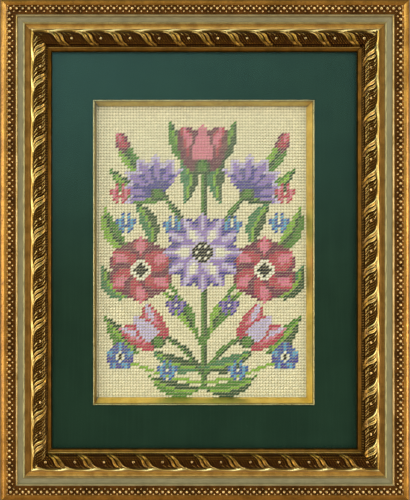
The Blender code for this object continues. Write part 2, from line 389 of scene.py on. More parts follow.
# Each strip's finish ends this many millimetres in from the outer edge.
FINISH_ENDS = [(6.8, outer_gold), (13.4, bead_ground), (15.3, pale_gold), (19.2, sage_paint),
               (21.0, cream_line), (25.6, cove_gold), (39.6, wax_and_painted_shade), (40.7, lip_crest_painted_highlight),
               (42.0, lip_gold), (43.3, wax_and_painted_shade)]
BARE_WOOD = RAIL_FINISHES.index(pine)


def moulding_finish(inward_mm, height_mm):
    """The number of the finish on this strip of the moulding's section."""
    lip_back = LIP_BACK / MM
    if height_mm < lip_back - 2.0 or (inward_mm > BACK_WIDTH - 0.2 and height_mm < lip_back + 0.1):
        return BARE_WOOD
    return RAIL_FINISHES.index(next(finish for end, finish in FINISH_ENDS if inward_mm <= end))


def mitred_strip(section, length, far_side, finish_of, end_finish):
    """A strip of this section, mitred at both ends and closed, along the top of a rectangle."""
    bm = bmesh.new()
    points = [(-length / 2, -height * MM, far_side / 2 - inward * MM) for inward, height in section]
    first, last = drawn_line(bm, points)
    bmesh.ops.contextual_create(bm, geom=[last, first])
    pulled = bmesh.ops.extrude_edge_only(bm, edges=bm.edges[:])["geom"]
    pulled_verts = [part for part in pulled if isinstance(part, bmesh.types.BMVert)]
    bmesh.ops.translate(bm, vec=(length, 0.0, 0.0), verts=pulled_verts)
    for face in bm.faces:
        middle = face.calc_center_median()
        face.material_index = finish_of((far_side / 2 - middle.z) / MM, -middle.y / MM)
    saw_mitres(bm, length, far_side)
    ends = bmesh.ops.holes_fill(bm, edges=[edge for edge in bm.edges if edge.is_boundary])["faces"]
    for face in ends:
        face.material_index = end_finish
    bmesh.ops.recalc_face_normals(bm, faces=bm.faces)
    write_rail_map(bm, far_side)
    return bm


for side, (turn, length, far_side) in RAIL_SIDES.items():
    bm = mitred_strip(moulding_section(), length, far_side, moulding_finish, BARE_WOOD)
    bmesh.ops.transform(bm, matrix=side_matrix(turn, FRAME_MIDDLE), verts=bm.verts)
    swaps = UPRIGHT_SWAPS if side in ("left", "right") else LEVEL_SWAPS
    rail = finished_piece(bm, f"moulding_{side}", [swaps.get(finish, finish) for finish in RAIL_FINISHES])
    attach(rail, "root")
    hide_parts(f"rail_{side}")
    print(f"moulding_{side}: {len(rail.data.polygons)} faces, {length * 1000:.1f} mm long")

# %% [markdown]
# ## Rows of beads
#
# Pressed composition ornament gives the channel its beads: a row of larger ones, with a row of seeds on each
# side that sit between them. One bead is modelled once, with a few dozen faces, and stamped along the rail.
# Stamping copies the operator's own vertices and faces, so hundreds of beads cost no more thought than one.

# %% Stamping copies of one small shape


def small_shape(build):
    """The vertices and faces of a shape that build makes in a bmesh."""
    bm = bmesh.new()
    build(bm)
    bm.verts.ensure_lookup_table()
    points = np.array([vert.co for vert in bm.verts])
    faces = [[vert.index for vert in face.verts] for face in bm.faces]
    bm.free()
    return points, faces


def stamped(name, shape, matrices, materials, uv_name, uv_from, shades=None):
    """One mesh of many copies of a shape: a copy for each matrix, with a UV map from the shape itself."""
    points, faces = shape
    count = len(points)
    square = np.array([np.array(matrix) for matrix in matrices])
    placed = np.einsum("nij,pj->npi", square[:, :3, :3], points) + square[:, None, :3, 3]
    corners = [[index + copy * count for index in face] for copy in range(len(matrices)) for face in faces]
    mesh = bpy.data.meshes.new(name)
    mesh.from_pydata(placed.reshape(-1, 3).tolist(), [], corners)
    for material in materials:
        mesh.materials.append(material)
    mesh.shade_smooth()
    layer = mesh.uv_layers.new(name=uv_name)
    loop_verts = np.zeros(len(mesh.loops), int)
    mesh.loops.foreach_get("vertex_index", loop_verts)
    places = uv_from(points, loop_verts // count, loop_verts % count)
    layer.data.foreach_set("uv", places.astype(np.float32).ravel())
    if shades is not None:
        attribute = mesh.attributes.new("shade", "FLOAT", "POINT")
        attribute.data.foreach_set("value", np.repeat(np.array(shades, np.float32), count))
    piece = bpy.data.objects.new(name, mesh)
    bpy.context.scene.collection.objects.link(piece)
    return piece


# %% Beads along each rail
BEAD_PITCH = 5.06 * MM
BEAD_RADIUS = 1.5 * MM
SEED_RADIUS = 0.85 * MM
BEAD_LINE = 8.6 * MM
SEED_LINES = (6.45 * MM, 10.9 * MM)
# A bead's middle stands this share of its radius above the channel.
BEAD_LIFT = 0.35
CHANNEL_HEIGHT = LIP_BACK + CHANNEL_LEVEL * MM


def bead_places(length, far_side, inward, radius, offset):
    """Matrices for the beads of one row, whose ends stop at the mitres."""
    reach = length / 2 - inward
    count = int((reach - radius * 0.6) / BEAD_PITCH - offset)
    steps = [step + offset for step in range(-count - 1, count + 1)]
    scale = Matrix.Diagonal((radius, radius, radius, 1.0))
    height = CHANNEL_HEIGHT + radius * BEAD_LIFT
    return [Matrix.Translation((step * BEAD_PITCH, -height, far_side / 2 - inward)) @ scale
            for step in steps if abs(step) * BEAD_PITCH < reach]


def round_bead(bm):
    """A ball with its poles along the rail's height, so that its top catches one clean highlight."""
    bmesh.ops.create_uvsphere(bm, u_segments=10, v_segments=6, radius=1.0)
    bmesh.ops.rotate(bm, cent=(0, 0, 0), matrix=Matrix.Rotation(math.radians(90), 3, "X"), verts=bm.verts)


def bead_map(points, copies, corners):
    """A UV map for beads, each a little further along so that no two wear alike."""
    return points[corners][:, (0, 2)] * BEAD_RADIUS + copies[:, None] * np.array([BEAD_PITCH, 0.0])


bead = small_shape(round_bead)
for side, (turn, length, far_side) in RAIL_SIDES.items():
    places = bead_places(length, far_side, BEAD_LINE, BEAD_RADIUS, 0.0)
    for line in SEED_LINES:
        places += bead_places(length, far_side, line, SEED_RADIUS, 0.5)
    places = [side_matrix(turn, FRAME_MIDDLE) @ place for place in places]
    beads = stamped(f"beads_{side}", bead, places, [bead_gold], "rail", bead_map)
    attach(beads, "root")
    print(f"beads_{side}: {len(places)} beads")

# %% [markdown]
# ## The carved ribbon twist
#
# Beside the cove the stock carries its main ornament, a ribbon wound round a stem. Two narrow gilded bands
# cross the half-round together, and between one pair and the next swells a dark bronzed lobe with fine
# hatching. The outer edge is a gilded rim that dips where the bands leave it.
#
# A relief like this is a height for every point of a strip, so a fine grid is raised by one function of the
# place along the rail and the distance in from its edge. The same function says how gilded a point is and how
# much painted highlight lies on it, and both are kept on the mesh as attributes that the material reads.

# %% The height of the ribbon
# All of these are millimetres. In from the rail's outer edge: the rim's start, the whole relief, the lobes,
# and the middle, half-width and height of the half-round that they swell on.
RIM_FROM, RIBBON_FROM, RIBBON_TO = 24.8, 24.7, 39.9
LOBE_FROM, LOBE_TO = 28.2, 39.7
SWELL_MIDDLE, SWELL_HALF, SWELL_HEIGHT = 33.75, 6.05, 6.2
# How far along the rail a band travels from the rim to the lip, and half the width of a pair at each.
RIBBON_LEAN = 13.5
PAIR_AT_RIM, PAIR_AT_LIP = 4.5, 2.8
RIM_HEIGHT = 2.7
RIBBON_STEP = 0.36
# For each rail, the repeat of the twist, how far along the first band stands from the rail's middle, how far
# in the gilded rim reaches, and how strong the painted highlights on the bands are, strong on the uprights
# and faint on the level rails. The ornament is pressed from warm composition, which stretches a little as it
# is laid.
RIBBON_TWISTS = {"top": (24.2, -7.1, 28.0, 0.4), "right": (25.3, 8.2, 28.8, 1.0),
                 "bottom": (24.2, -5.8, 28.0, 0.4), "left": (25.3, 8.2, 28.8, 1.0)}
# Short strokes scored on each lobe: where along the twist each starts, its slope, and from where to where it
# runs in. Two stand at the rim like veins of a leaf, and four fray the lobe's other edge.
VEINS = [(9.44, 1.1, 29.0, 32.0), (12.72, 1.3, 29.0, 32.0)]
FRAYED = [(13.4 + 3.6 * turn, 1.5, 36.0, 38.6) for turn in range(4)]
STROKE_HALF = 0.5
# How gilded a point is: bare bronze is 0.
ON_BANDS, ON_RIM = 0.75, 1.0


def eased(value, low, high):
    """0 below low, 1 above high, and a smooth rise between."""
    share = min(max((value - low) / (high - low), 0.0), 1.0)
    return share * share * (3 - 2 * share)


def crest_line(share, middle, half_width):
    """1 on the middle of a crest and 0 beside it."""
    return math.exp(-((share - middle) / half_width) ** 2)


def apart_from(distance, repeat):
    """The same distance measured from the nearest repeat."""
    return distance - round(distance / repeat) * repeat


def over_lobe(inward):
    """0 at the rim's edge of the lobes and 1 at the lip's."""
    return min(max((inward - LOBE_FROM) / (LOBE_TO - LOBE_FROM), 0.0), 1.0)


def ribbon_path(inward):
    """How far along the rail a band has moved by this distance in: it flares where it meets both edges."""
    way = 2 * over_lobe(inward) - 1
    return RIBBON_LEAN * (0.5 + 0.2 * way + 0.3 * way ** 3)


def blade(share):
    """The height of one blade of leaf across its width: a sharp crest, a hollow and a lower crest."""
    hollow = 0.45 * eased(share, 0.2, 0.6) - 0.25 * eased(share, 0.6, 0.88)
    return eased(share, 0.0, 0.2) - hollow - 0.8 * eased(share, 0.9, 1.0)


def band_point(across, swell, inside, highlight_strength):
    """A point on a pair of bands, a wide blade and a narrow one that share a groove."""
    point = swell - 1.3, 0.0, 0.0
    for share in ((across + 1) / 1.04, (1 - across) / 0.72):
        if share < 1.0:
            gilt = ON_BANDS * eased(share, 0.02, 0.14) * (1 - eased(share, 0.86, 0.97))
            # Painted highlights run along the crests of both blades, strongest towards the rim.
            crest_highlights = crest_line(share, 0.22, 0.075) + 0.7 * crest_line(share, 0.84, 0.06)
            point = swell - 1.0 + 1.5 * blade(share), gilt, highlight_strength * crest_highlights * (1.2 - inside)
    return point


def lobe_point(along, inward, into_lobe, swell, repeat, highlight_strength):
    """A point on a lobe, which rounds up from the bands and is scored with strokes."""
    height = swell - 1.2 + 1.75 * (1 - (1 - min(into_lobe / 0.4, 1.0)) ** 2.4)
    gilt = rubbed_and_highlight = 0.0
    for stroke_along, slope, start, end in VEINS + FRAYED:
        apart = abs(apart_from(along - stroke_along - slope * (inward - start), repeat))
        if apart < STROKE_HALF and start < inward < end:
            raised = 1 - apart / STROKE_HALF
            # The strokes by the lip are gilded only as strongly as the rail's painted highlights, so they
            # read as glints, and every stroke carries some painted highlight.
            gilt = ON_BANDS * raised * (1.0 if start < SWELL_MIDDLE else highlight_strength)
            height, rubbed_and_highlight = height + 0.4 * raised, 0.7 * highlight_strength * raised
    return height, gilt, rubbed_and_highlight


def rim_point(along, inward, repeat, rim_reach):
    """A point on the gilded rim, which dips towards each pair of bands, or None beside it."""
    near_band = 0.5 + 0.5 * math.cos(math.tau * (along + 0.8) / repeat)
    share = (inward - RIM_FROM) / (rim_reach + 1.6 * near_band ** 2.5 - RIM_FROM)
    if not 0.0 < share < 1.0:
        return None
    # A painted highlight runs along the rim's crest, brightest in a patch beside the foot of each pair of
    # bands.
    highlight_patch = 0.5 + 0.5 * math.cos(math.tau * (along - 4.0) / repeat)
    height = RIM_HEIGHT * (1 + math.sin(math.pi * share ** 1.2) ** 0.8)
    return height, ON_RIM, crest_line(share, 0.6, 0.26) * (0.2 + 0.4 * highlight_patch ** 2)


def ribbon_point(along, inward, repeat, rim_reach, highlight_strength):
    """Height above the lip's back in millimetres, how gilded the point is and how much painted highlight lies
    on it.
    """
    offset = apart_from(along - ribbon_path(inward), repeat)
    inside = over_lobe(inward)
    round_share = max(0.0, 1 - abs((inward - SWELL_MIDDLE) / SWELL_HALF) ** 2.8)
    swell = 0.8 + SWELL_HEIGHT * round_share ** 0.36
    pair_half = PAIR_AT_RIM - (PAIR_AT_RIM - PAIR_AT_LIP) * inside ** 1.4
    if abs(offset) < pair_half:
        point = band_point(offset / pair_half, swell, inside, highlight_strength)
    else:
        into_lobe = (abs(offset) - pair_half) / (repeat / 2 - pair_half)
        point = lobe_point(along, inward, into_lobe, swell, repeat, highlight_strength)
    rim = rim_point(along, inward, repeat, rim_reach)
    return rim if rim and rim[0] > point[0] else point


def ribbon_relief(length, far_side, repeat, shift, rim_reach, highlight_strength):
    """The relief of one rail as a fine grid, sawn at the mitres."""
    bm = bmesh.new()
    along_cells = int(length / MM / RIBBON_STEP)
    inward_cells = int((RIBBON_TO - RIBBON_FROM) / RIBBON_STEP)
    bmesh.ops.create_grid(bm, x_segments=along_cells, y_segments=inward_cells, size=1.0)
    gilt_layer = bm.verts.layers.float.new("gilt")
    highlight_layer = bm.verts.layers.float.new("rubbed_and_highlight")
    twist_layer = bm.loops.layers.uv.new("ribbon")
    for vert in bm.verts:
        along = vert.co.x * length / 2 / MM
        inward = RIBBON_FROM + (1 - vert.co.y) / 2 * (RIBBON_TO - RIBBON_FROM)
        point = ribbon_point(along - shift, inward, repeat, rim_reach, highlight_strength)
        height, vert[gilt_layer], vert[highlight_layer] = point
        vert.co = (along * MM, -(height * MM + LIP_BACK), far_side / 2 - inward * MM)
    for face in bm.faces:
        for loop in face.loops:
            inward = (far_side / 2 - loop.vert.co.z) / MM
            loop[twist_layer].uv = (loop.vert.co.x - ribbon_path(inward) * MM, inward * MM)
    saw_mitres(bm, length, far_side)
    write_rail_map(bm, far_side)
    bmesh.ops.recalc_face_normals(bm, faces=bm.faces)
    if sum(face.normal.y for face in bm.faces) > 0:
        bmesh.ops.reverse_faces(bm, faces=bm.faces)
    return bm


# %% [markdown]
# The ribbon's material is two finishes in one. Leaf covers the bands and the rim, with painted highlights
# along their crests, and brown bronze with its hatching covers the lobes. The hatching runs beside the bands,
# so it reads a second UV map, in which the distance along the rail is measured from the band and not from the
# rail's middle.

# %% Leaf and bronze on the ribbon
# From one line of the hatching to the next, and between the breaks along a line.
HATCH_PITCH, DOT_PITCH = 2.1 * MM, 1.5 * MM


def ribbon_material(name, varnish, crest_highlight, rim, leaf, worn, ticks, bronze, wax):
    """Leaf with painted highlights on the bands and the rim, and dark hatched bronze on the lobes."""
    material, tree, shader = new_material(name)
    gilt = node(tree, "Attribute", out="Fac", attribute_name="gilt")
    rubbed_and_highlight = node(tree, "Attribute", out="Fac", attribute_name="rubbed_and_highlight")
    twist = node(tree, "UVMap", uv_map="ribbon")
    inward = node(tree, "SeparateXYZ", {"Vector": twist}, out="Y")
    place = node(tree, "TexCoord", out="Object")
    grit = mottled(tree, place, 0.8 * MM, 4.0, 0.7)
    patches = mottled(tree, place, 4 * MM, 3.0, 0.6)
    wave = {"Vector": twist, "Scale": waves_of(HATCH_PITCH), "Distortion": 0.4, "Detail": 1.0}
    lines = node(tree, "TexWave", wave, out="Fac", bands_direction="X")
    breaks = node(tree, "TexWave", wave | {"Scale": waves_of(DOT_PITCH)}, out="Fac", bands_direction="Y")
    lines = node(tree, "MapRange", {0: lines, 1: 0.45, 2: 0.95}, **SMOOTH)
    breaks = node(tree, "MapRange", {0: breaks, 1: 0.1, 2: 0.6}, **SMOOTH)
    dots = node(tree, "Math", {0: lines, 1: breaks}, operation="MULTIPLY")
    # The hatching's light dots are partly painted glints on its ridges. They are fainter towards the rim, and
    # uneven everywhere.
    faded = node(tree, "MapRange", {0: inward, 1: 34 * MM, 2: 38 * MM, 3: 0.5, 4: 1.0}, **SMOOTH)
    uneven = node(tree, "MapRange", {0: patches, 1: 0.35, 2: 0.6, 3: 0.35, 4: 1.0}, **SMOOTH)
    kept = node(tree, "Math", {0: faded, 1: uneven}, operation="MULTIPLY")
    shown = node(tree, "Math", {0: dots, 1: kept}, operation="MULTIPLY")
    dark = showing(tree, bronze, patches, 0.3, 0.7, wax)
    dark = node(tree, "Mix", {0: shown, 6: dark, 7: ticks}, **COLOURS)
    dark = showing(tree, dark, grit, 0.32, 0.5, wax, most=0.0, least=0.8)
    gold = showing(tree, leaf, patches, 0.35, 0.65, worn)
    gold = showing(tree, gold, gilt, 0.8, 0.95, rim)
    gold = showing(tree, gold, grit, 0.6, 0.74, worn, 0.8)
    # Painted highlights: the crest colour lies where the mesh's attribute marks a crest that catches the
    # light.
    gold = showing(tree, gold, rubbed_and_highlight, 0.1, 0.6, crest_highlight)
    share = node(tree, "MapRange", {0: gilt, 1: 0.2, 2: 0.5}, **SMOOTH)
    tone = node(tree, "Mix", {0: share, 6: dark, 7: gold}, **COLOURS)
    shine = node(tree, "MapRange", {0: share, 3: 0.5, 4: 0.3}, **SMOOTH)
    metal = node(tree, "MapRange", {0: share, 3: 0.6, 4: 1.0}, **SMOOTH)
    coat = node(tree, "MapRange", {0: share, 3: 0.0, 4: varnish}, **SMOOTH)
    scored = node(tree, "MapRange", {0: share, 1: 0.2, 2: 0.6, 3: 1.0, 4: 0.0}, **SMOOTH)
    relief = node(tree, "Bump", {"Height": dots, "Distance": 0.12 * MM, "Strength": scored})
    relief = node(tree, "Bump", {"Height": grit, "Distance": 0.05 * MM, "Strength": 0.6, "Normal": relief})
    wired(tree, shader, {"Base Color": tone, "Roughness": shine, "Metallic": metal, "Normal": relief,
                         "Coat Weight": coat, "Coat Roughness": 0.16, "Specular IOR Level": 0.0})
    return material


# The upright twists carry strong painted highlights on every crest, and the lighter leaf, rim and dots of the
# lit copy.
upright_ribbon = ribbon_material("leaf_and_hatched_bronze_painted_highlights", 0.6, "f4d680", "b88a34", "a87a22", "6c4a10",
                                 "b48440", "2c1804", "180b00")
# The level ones are a darker copy with fainter highlights, painted shade for rails that catch less light.
level_ribbon = ribbon_material("leaf_and_hatched_bronze_painted_shade", 0.2, "f0d890", "987430", "906a22", "60420e",
                               "84581e", "2c1608", "180a02")
for side, (turn, length, far_side) in RAIL_SIDES.items():
    bm = ribbon_relief(length, far_side, *RIBBON_TWISTS[side])
    bmesh.ops.transform(bm, matrix=side_matrix(turn, FRAME_MIDDLE), verts=bm.verts)
    finish = upright_ribbon if side in ("left", "right") else level_ribbon
    ribbon = finished_piece(bm, f"ribbon_{side}", [finish], None)
    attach(ribbon, "root")
    print(f"ribbon_{side}: {len(ribbon.data.polygons)} faces")

# %% [markdown]
# Each lobe carries one tiny ring, like a berry on the ribbon. It is a small circle spun into a torus, and it
# is laid at the height that the ribbon has there.

# %% Ring berries on the lobes
# Millimetres in from the rail's outer edge, and the share of the twist's repeat after a band.
BERRY_INWARD = 34.6
BERRY_PHASE = 0.42
BERRY_RADIUS, BERRY_TUBE = 0.72 * MM, 0.4 * MM


def ring_berry(bm):
    """A ring about the rail's height, spun from a circle of six points."""
    turn = Matrix.Rotation(math.radians(90), 4, "X")
    place = Matrix.Translation((BERRY_RADIUS, 0, 0)) @ turn
    circle = bmesh.ops.create_circle(bm, segments=6, radius=BERRY_TUBE, matrix=place)
    edges = list({edge for vert in circle["verts"] for edge in vert.link_edges})
    bmesh.ops.spin(bm, geom=edges, cent=(0, 0, 0), axis=(0, 0, 1), angle=math.tau, steps=10, use_merge=True)
    bmesh.ops.rotate(bm, cent=(0, 0, 0), matrix=Matrix.Rotation(math.radians(90), 3, "X"), verts=bm.verts)
    bmesh.ops.recalc_face_normals(bm, faces=bm.faces)


def berry_map(points, copies, corners):
    """A UV map for berries, shifted from one to the next."""
    return points[corners][:, (0, 2)] + copies[:, None] * np.array([0.01, 0.0])


berry = small_shape(ring_berry)
for side, (turn, length, far_side) in RAIL_SIDES.items():
    to_side = side_matrix(turn, FRAME_MIDDLE)
    reach = length / 2 / MM - BERRY_INWARD - 2.0
    repeat, shift, rim_reach, highlight_strength = RIBBON_TWISTS[side]
    first = shift + ribbon_path(BERRY_INWARD) + BERRY_PHASE * repeat
    spots = [first + step * repeat for step in range(-12, 12)]
    places = []
    for along in [spot for spot in spots if abs(spot) < reach]:
        height = ribbon_point(along - shift, BERRY_INWARD, repeat, rim_reach, highlight_strength)[0] * MM + LIP_BACK
        spot = Matrix.Translation((along * MM, -height, far_side / 2 - BERRY_INWARD * MM))
        places.append(to_side @ spot @ Matrix.Rotation(math.radians(-12), 4, "X"))
    berries = stamped(f"berries_{side}", berry, places, [bead_gold], "rail", berry_map)
    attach(berries, "root")
    print(f"berries_{side}: {len(places)}")

# %% [markdown]
# ## The fillet
#
# A fillet is a slim gilt moulding glued behind the mat's window, so that a thin line of gold runs round the
# needlework. It is the same job as the rails in small: draw the section, push it along, saw the mitres. Its
# leaf is new and bright, with hardly any clay showing. What shows is a thin bead beside the mat and a face
# that slopes down to the canvas.

# %% Gilt fillet round the mat's window
# Heights above the wall and the width of the flange behind the mat, in millimetres.
FILLET_BACK = 7.1
FILLET_FRONT = 12.8
FILLET_FLANGE = 5.4
fillet_gold = gilding("bright_fillet_leaf", "fce084", "eccc6c", "b09040", 0.42, 0.05, varnish=0.1)
# The top strip and the left strip take darker copies of the same leaf, painted shade for the sides that the
# lights reach less; the darker one also paints the shade in the groove beside the bead.
fillet_top_painted_shade = gilding("fillet_top_leaf_painted_shade", "ccb464", "b89c50", "907430", 0.42, 0.05, varnish=0.0)
fillet_painted_shade = gilding("fillet_leaf_painted_shade", "a48c48", "907838", "705820", 0.4, 0.05, varnish=0.0)
# The bead nearest the mat is a paler leaf that mirrors the window almost white.
fillet_bead_gold = gilding("pale_fillet_bead_leaf", "ccc08c", "b8a870", "8c7a4c", 0.28, 0.05, varnish=0.4)
fillet_low = Vector(map(min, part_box("fillet_left")[0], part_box("fillet_bottom")[0]))
fillet_high = Vector(map(max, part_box("fillet_right")[1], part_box("fillet_top")[1]))
FILLET_SIDES = four_sides(fillet_high.x - fillet_low.x, fillet_high.z - fillet_low.z)
# The strips were planed by eye, so each one's foot stands a little further in or out, in millimetres.
FILLET_REACH = {"top": 0.4, "right": 1.4, "bottom": 1.4, "left": -0.7}


def fillet_section(reach):
    """The fillet's section: a flange behind the mat, a round bead along the cut edge, a sloping face."""
    front = MAT_FRONT / MM
    section = [(0.0, FILLET_BACK), (0.0, FILLET_FRONT), (FILLET_FLANGE, FILLET_FRONT)]
    section += arc((FILLET_FLANGE + 0.55, front - 0.75), (0.55, 0.7), 180, 0, 10)
    section += [(FILLET_FLANGE + 1.25, front - 1.3), (FILLET_FLANGE + 1.5, front - 1.1)]
    foot = FILLET_FLANGE + 3.3 + reach
    section += [(foot, FILLET_BACK + 0.3), (foot, FILLET_BACK)]
    return section


def fillet_finish(inward_mm, height_mm):
    """0 for gold, 1 for the pale bead, 2 for the darker leaf in the groove, painted shade."""
    if inward_mm < FILLET_FLANGE + 1.15:
        return 1
    return 2 if inward_mm < FILLET_FLANGE + 1.4 else 0


fillet_middle = Vector((0.0, 0.0, (fillet_low.z + fillet_high.z) / 2))
for side, (turn, length, far_side) in FILLET_SIDES.items():
    bm = mitred_strip(fillet_section(FILLET_REACH[side]), length, far_side, fillet_finish, 0)
    bmesh.ops.transform(bm, matrix=side_matrix(turn, fillet_middle), verts=bm.verts)
    face_gold = {"top": fillet_top_painted_shade, "left": fillet_painted_shade}.get(side, fillet_gold)
    strip = finished_piece(bm, f"gilt_fillet_{side}", [face_gold, fillet_bead_gold, fillet_painted_shade])
    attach(strip, "root")
    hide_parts(f"fillet_{side}")
print(f"fillet {length * 1000:.1f} mm long on its last side")

# %% [markdown]
# ## Mat board, glass and backing board
#
# These three are flat sheets, so the CAD nodes already have the right shape and only need a finish. Mat
# board is paper: matt, dyed right through its face, with a faint cloudiness and fibres. Glass is clear and
# shows itself only by what it mirrors, so it mixes a transparent and a glossy shader by the Fresnel law.
# Hardboard is pressed brown fibre.

# %% Finishes for the flat sheets
GLASS_IOR = 1.45


def mat_paper():
    """Deep green mat board with a fine fibre surface and very faint upright streaks."""
    material, tree, shader = new_material("deep_green_mat_paper")
    place = node(tree, "TexCoord", out="Object")
    streaks = mottled(tree, place, 1.6 * MM, 2.0, 0.5, (1.0, 1.0, 0.03))
    fibres = mottled(tree, place, 0.5 * MM, 3.0, 0.7)
    tone = showing(tree, "192f21", mottled(tree, place, 25 * MM, 3.0, 0.55), 0.3, 0.7, "152a1d")
    tone = showing(tree, tone, streaks, 0.45, 0.7, "203628", 0.35)
    tone = showing(tree, tone, fibres, 0.5, 0.8, "121f17", 0.3)
    relief = node(tree, "Bump", {"Height": fibres, "Distance": 0.03 * MM, "Strength": 0.5})
    wired(tree, shader, {"Base Color": tone, "Roughness": 0.85, "Normal": relief, "Specular IOR Level": 0.1})
    return material


def window_glass():
    """Clear picture glass with a trace of green, a mirror only at its own Fresnel share."""
    material, tree, _ = new_material("clear_picture_glass")
    tree.nodes.clear()
    clear = node(tree, "BsdfTransparent", {"Color": "fefffe"})
    mirror = node(tree, "BsdfGlossy", {"Color": "ffffff", "Roughness": 0.03})
    # From inside the glass the ratio of the two media is turned round.
    inside = node(tree, "NewGeometry", out="Backfacing")
    index = node(tree, "MapRange", {0: inside, 3: GLASS_IOR, 4: 1 / GLASS_IOR})
    share = node(tree, "Fresnel", {"IOR": index})
    smears = mottled(tree, node(tree, "TexCoord", out="Object"), 40 * MM, 4.0, 0.6)
    haze = node(tree, "MapRange", {0: smears, 1: 0.35, 2: 0.8, 3: 1.0, 4: 1.15}, **SMOOTH)
    share = node(tree, "Math", {0: share, 1: haze}, operation="MULTIPLY")
    both = node(tree, "MixShader", {0: share, 1: clear, 2: mirror})
    node(tree, "OutputMaterial", {"Surface": both})
    return material


def pressed_hardboard():
    """Brown hardboard: pressed fibre with darker flecks and a slight leathery bump."""
    material, tree, shader = new_material("pressed_brown_hardboard")
    place = node(tree, "TexCoord", out="Object")
    fibres = mottled(tree, place, 1.2 * MM, 5.0, 0.7, (1.0, 1.0, 0.5))
    tone = showing(tree, "80583a", mottled(tree, place, 30 * MM, 3.0, 0.6), 0.3, 0.7, "6c482e")
    tone = showing(tree, tone, fibres, 0.5, 0.75, "4a2f1c", 0.7)
    relief = node(tree, "Bump", {"Height": fibres, "Distance": 0.1 * MM, "Strength": 0.7})
    wired(tree, shader, {"Base Color": tone, "Roughness": 0.6, "Normal": relief})
    return material


for name, material in (("mat_board", mat_paper()), ("glass_pane", window_glass()),
                       ("backing_board", pressed_hardboard())):
    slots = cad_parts[name].data.materials
    for index in range(len(slots)):
        slots[index] = material
    print(f"{name}: {len(slots)} material slot")

# %% [markdown]
# ## The canvas
#
# Needlepoint is worked on mono canvas, a stiff open cloth of single cotton threads, ten to the inch. It is
# stretched flat over the backing board, and the inch left bare all round is hidden behind the mat. The cloth
# is a grid with a Solidify modifier. The stitches are pieces of their own that stand on it.

# %% The canvas sheet
CANVAS_CLOTH = 0.6 * MM
WOOL_THICKNESS = 1.3 * MM
STITCH_TOP = -canvas_low.y
CLOTH_FRONT = STITCH_TOP - WOOL_THICKNESS


def mono_canvas():
    """Cream cotton canvas: a square mesh of round threads, with its small holes painted dark as shade."""
    material, tree, shader = new_material("ten_mesh_cotton_canvas")
    place = node(tree, "TexCoord", out="Object")
    waves = []
    for axis in ("X", "Z"):
        along = node(tree, "SeparateXYZ", {"Vector": place}, out=axis)
        turns = node(tree, "Math", {0: along, 1: math.tau / STITCH}, operation="MULTIPLY")
        waves.append(node(tree, "Math", {0: turns}, operation="COSINE"))
    higher = node(tree, "Math", {0: waves[0], 1: waves[1]}, operation="MAXIMUM")
    thread = node(tree, "MapRange", {0: higher, 1: -0.7, 2: 0.1}, **SMOOTH)
    fibres = mottled(tree, place, 0.4 * MM, 3.0, 0.7)
    # The holes are painted dark, for the shaded board that shows through them.
    tone = node(tree, "Mix", {0: thread, 6: "7c7252", 7: "dcd0a8"}, **COLOURS)
    tone = showing(tree, tone, fibres, 0.4, 0.7, "cfc39a", 0.25)
    relief = node(tree, "Bump", {"Height": thread, "Distance": 0.3 * MM, "Strength": 0.9})
    wired(tree, shader, {"Base Color": tone, "Roughness": 0.9, "Normal": relief})
    return material


bm = bmesh.new()
upright = Matrix.Rotation(math.radians(90), 4, "X")
upright.translation = (0.0, -CLOTH_FRONT, CANVAS_MIDDLE.z)
cut_size = Matrix.Diagonal((CANVAS_WIDTH, CANVAS_HEIGHT, 1.0, 1.0))
bmesh.ops.create_grid(bm, x_segments=12, y_segments=16, size=0.5, matrix=upright @ cut_size)
canvas = finished_piece(bm, "stretched_canvas", [mono_canvas()], None)
print("canvas normal", [round(v, 2) for v in canvas.data.polygons[0].normal])
cloth = canvas.modifiers.new("cloth thickness", "SOLIDIFY")
cloth.thickness = CANVAS_CLOTH
cloth.offset = -1.0
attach(canvas, "root")
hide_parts("needlepoint_canvas")

# %% [markdown]
# ## A chart for the stitches
#
# A needleworker follows a chart, squared paper with one coloured square for each stitch. The picture on this
# canvas is a design of its own: a symmetrical flowering stem of the kind seen in folk embroidery, with
# tulips, carnations, daisies and small blue stars. It is drawn straight onto the squares by a few small
# functions, one for each kind of petal or leaf, so the flowers are easy to move and recolour.

# %% Yarns
YARNS = {
    "cream": "f0e3c3", "ivory": "f4ecd8", "berry": "74204e", "crimson": "c03658", "rose": "e4809e",
    "violet": "4e409c", "lavender": "a080cc", "lilac": "d2c2e6", "cornflower": "3c5eae", "sky": "68aed6",
    "lime": "8cb840", "leaf": "508630", "sea": "408058", "pine": "2a4c30", "night": "1c1a26",
}
chart = [["cream"] * ACROSS for row in range(DOWN)]
MIDDLE = (ACROSS - 1) / 2


def stitch(column, row, yarn):
    """Colours one square of the chart, if it is on the chart."""
    column, row = round(column), round(row)
    if 0 <= column < ACROSS and 0 <= row < DOWN:
        chart[row][column] = yarn


def squares_near(centre, reach):
    """The squares round a place, as column and row."""
    columns = range(int(centre[0] - reach), int(centre[0] + reach) + 2)
    rows = range(int(centre[1] - reach), int(centre[1] + reach) + 2)
    return [(column, row) for row in rows for column in columns]


# %% Petals, flowers and leaves


